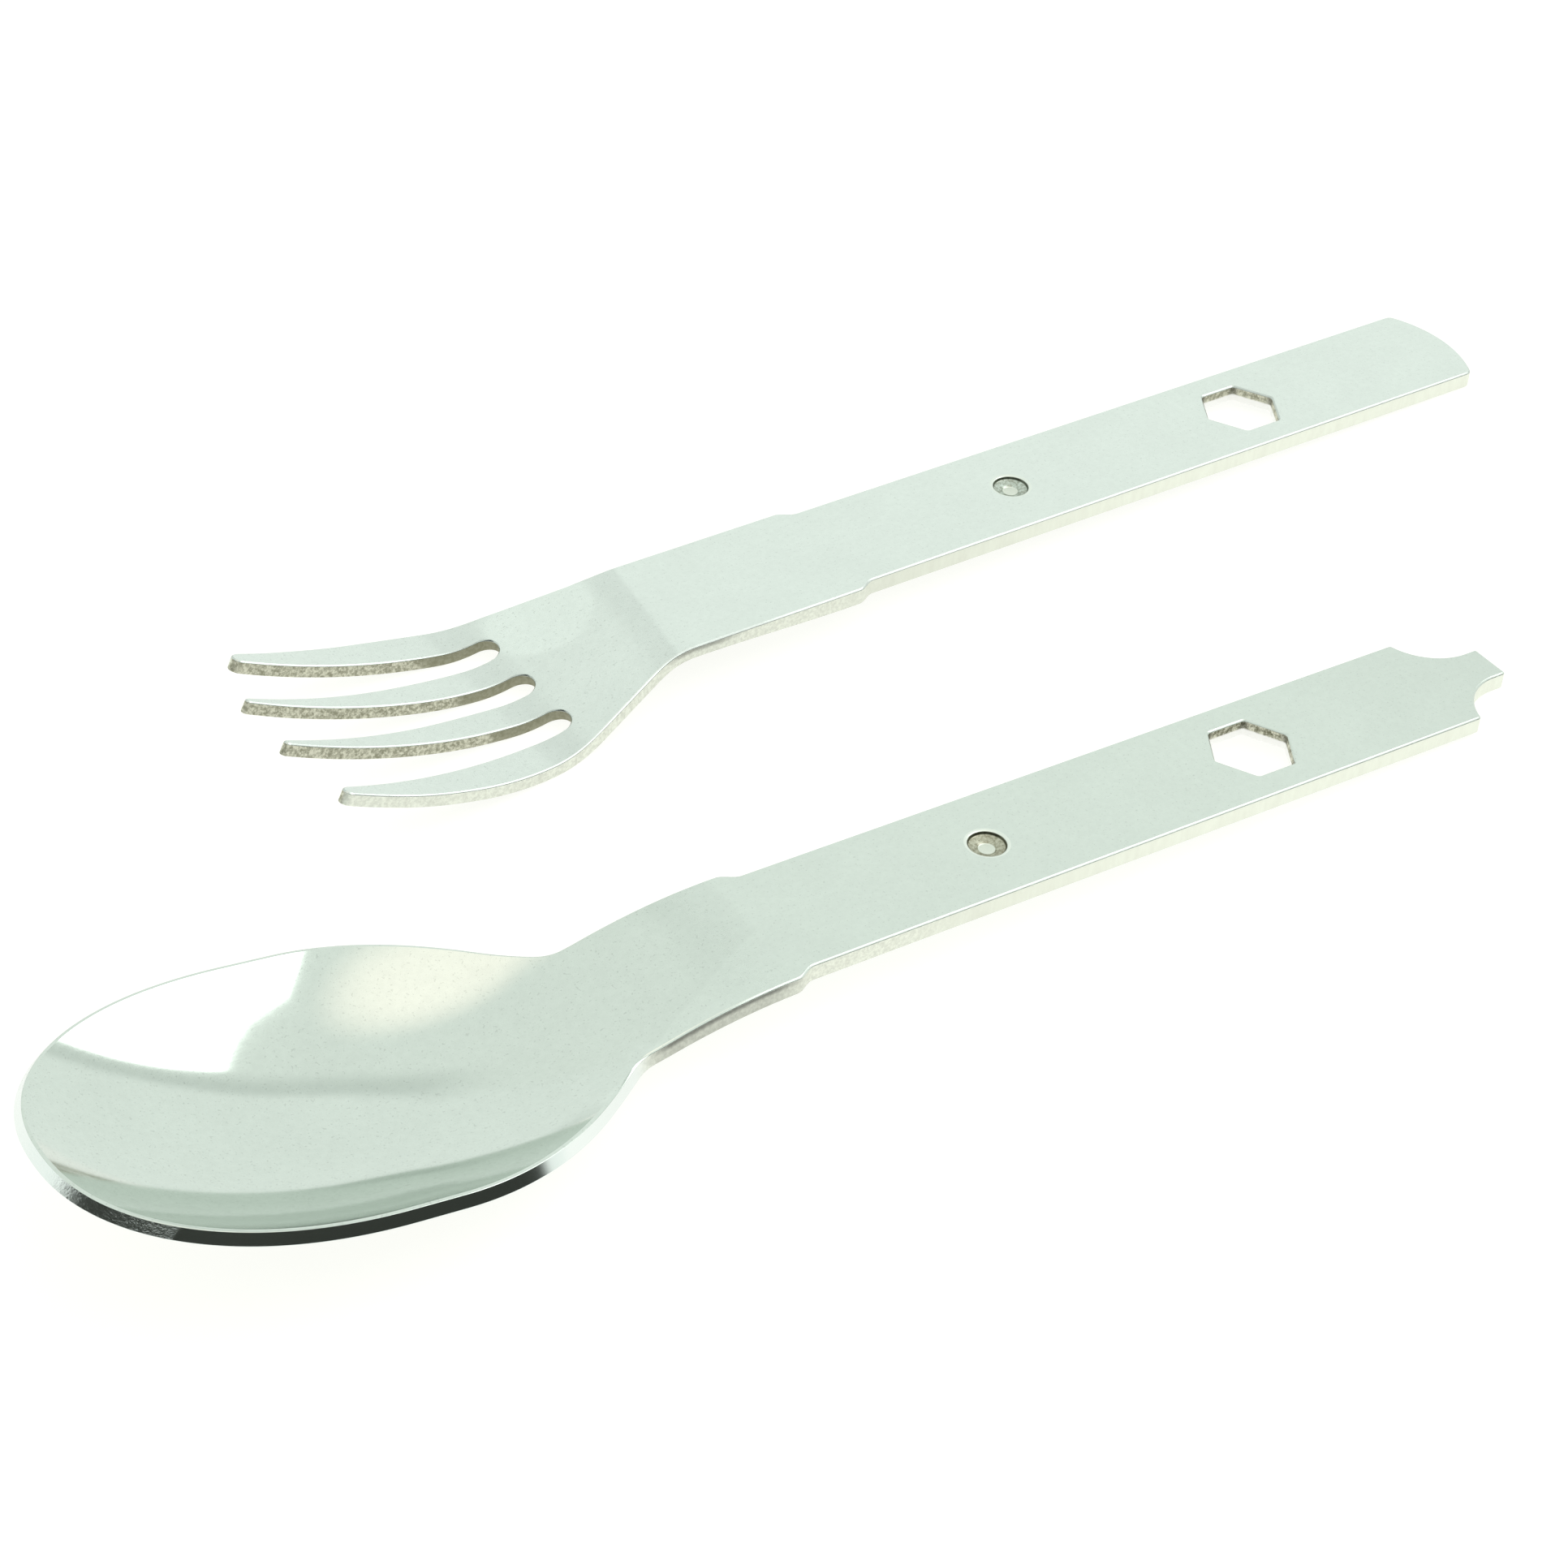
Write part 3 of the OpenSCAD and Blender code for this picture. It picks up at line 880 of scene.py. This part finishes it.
def soft_box(name, target, azimuth, elevation, distance, size, power, color):
    """A rectangular lamp that faces the target."""
    data = bpy.data.lights.new(name, "AREA")
    data.shape = "RECTANGLE"
    data.size, data.size_y = size
    data.energy = power
    data.color = color
    lamp = bpy.data.objects.new(name, data)
    back = direction(azimuth, elevation)
    lamp.location = target + back * distance
    lamp.rotation_euler = back.to_track_quat("Z", "Y").to_euler()
    lamp.visible_camera = False
    bpy.context.scene.collection.objects.link(lamp)


def studio_world():
    """A pale tent with one arched seam, a warm glow overhead and a dark opening low on one side.

    The bowl and the edges mirror it. The camera sees plain white instead. Centres are (azimuth,
    elevation) in degrees.
    """
    world = bpy.data.worlds.new("studio")
    world.use_nodes = True
    graph = Graph(world.node_tree)
    ray = graph.node("ShaderNodeTexCoord").outputs["Generated"]

    def towards(vector):
        made = graph.node("ShaderNodeVectorMath", {"operation": "DOT_PRODUCT"})
        graph.set(made.inputs[0], ray)
        graph.set(made.inputs[1], vector)
        return made.outputs["Value"]

    def within(centre, outer, inner):
        """1 closer to the centre than the inner angle, 0 further than the outer one."""
        return graph.between(towards(direction(*centre)), cos(radians(outer)), cos(radians(inner)))

    seam, glow, dark_side = (43, 15), (-30, 80), (-114, 0)
    arch = graph.math("SUBTRACT", within(seam, 42, 35.5), within(seam, 34.5, 31))
    arch = graph.math("MULTIPLY", arch, graph.math("SUBTRACT", 1.0, within((82, 30), 26, 12)))
    tent = graph.mix(within(seam, 38, 33), TENT_OUTSIDE, TENT_INSIDE)
    tent = graph.mix(graph.math("MULTIPLY", arch, 0.38), tent, TENT_SEAM)
    tent = graph.mix(within(glow, 22, 6), tent, TENT_GLOW)
    height = towards((0.0, 0.0, 1.0))
    low_down = graph.between(height, sin(radians(39)), sin(radians(34)))
    opening = graph.math("MULTIPLY", low_down, within(dark_side, 85, 81))
    light = graph.mix(opening, tent, TENT_OPENING)
    seen = graph.node("ShaderNodeLightPath").outputs["Is Camera Ray"]
    light = graph.mix(seen, light, WHITE)
    background = graph.node("ShaderNodeBackground", Color=light, Strength=1.08)
    graph.node("ShaderNodeOutputWorld", Surface=background.outputs[0])
    bpy.context.scene.world = world


def studio(bowl):
    """bowl is the middle of the spoon's bowl, which the lamp is placed from."""
    studio_world()
    soft_box("side_box", bowl, azimuth=-22, elevation=41.5, distance=1.0, size=(0.86, 0.46),
             power=2.0, color=(1.0, 1.0, 1.0))
    mesh = bpy.data.meshes.new("floor")
    reach = 3.0
    mesh.from_pydata([(-reach, -reach, 0), (reach, -reach, 0), (reach, reach, 0), (-reach, reach, 0)],
                     [], [(0, 1, 2, 3)])
    mesh.materials.append(floor_material())
    floor = bpy.data.objects.new("floor", mesh)
    bpy.context.scene.collection.objects.link(floor)
    bpy.context.scene.view_settings.view_transform = "Standard"


def photo_camera(low, high):
    """The photograph's view: from beyond the bowl, well above the table, with a slight roll."""
    heading, pitch, roll = 35.25, 38.53, 2.70
    distance = 0.4664
    data = bpy.data.cameras.new("camera")
    data.lens = 86.88
    data.sensor_width = 36.0
    data.clip_start, data.clip_end = 0.01, 50.0
    camera = bpy.data.objects.new("camera", data)
    middle = (low + high) / 2
    aim = Vector((middle.x - 0.0126, middle.y + 0.0014, low.z))
    turn = (
        Matrix.Rotation(radians(-heading), 3, "Z")
        @ Matrix.Rotation(radians(90 - pitch), 3, "X")
        @ Matrix.Rotation(radians(roll), 3, "Z")
    )
    camera.location = aim + turn @ Vector((0, 0, distance))
    camera.rotation_euler = turn.to_euler()
    bpy.context.scene.collection.objects.link(camera)
    bpy.context.scene.camera = camera


# ---------------------------------------------------------------- pieces


def fork_rolls(loop):
    """The edges are sharper along the tines than along the handle."""
    tines = smooth((-SLOT_ROOT_X + 4 - loop[:, 0]) / 4)
    return TOP_ROLL + (SLOT_ROLL - TOP_ROLL) * tines, np.full(len(loop), BOTTOM_ROLL)


def spoon_rolls(loop):
    """The upper edge is rounder round the bowl than along the handle."""
    bowl = smooth((-PINCH_X - loop[:, 0]) / 8)
    return TOP_ROLL + (RIM_TOP_ROLL - TOP_ROLL) * bowl, np.full(len(loop), BOTTOM_ROLL)


def place_piece(piece, record, outline, height, rolls, materials):
    matrix, sheet_t = piece_frame(record, piece)

    def thickness(x):
        return sheet_t - (sheet_t - PRESSED_T) * smooth((-FLAT_END_X - x) / THINNING_LEN)

    made = sheet_piece(piece + "_skin", matrix, outline, height, thickness, rolls, materials)
    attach(made, piece)
    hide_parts(piece)


def main():
    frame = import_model()
    cad_low, cad_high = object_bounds()
    record = frame["record"]
    photo_camera(cad_low, cad_high)
    spoon_matrix, _ = piece_frame(record, "spoon")
    studio(spoon_matrix @ Vector((-BOWL_MID_X * MM, 0, 0)))
    spoon_materials = [
        spoon_sheet(),
        edge_material("spoon_edge", SPOON_TORN, SPOON_NECK, -PINCH_X),
        dimple_material("spoon_recess", (0.88, 0.86, 0.84)),
    ]
    place_piece("spoon", record, spoon_outline(), spoon_height, spoon_rolls, spoon_materials)
    fork_materials = [
        fork_sheet(),
        edge_material("fork_edge", FORK_TORN, FORK_NECK),
        dimple_material("fork_recess", (0.98, 1.06, 1.16)),
    ]
    place_piece("fork", record, fork_outline(), fork_height, fork_rolls, fork_materials)


main()
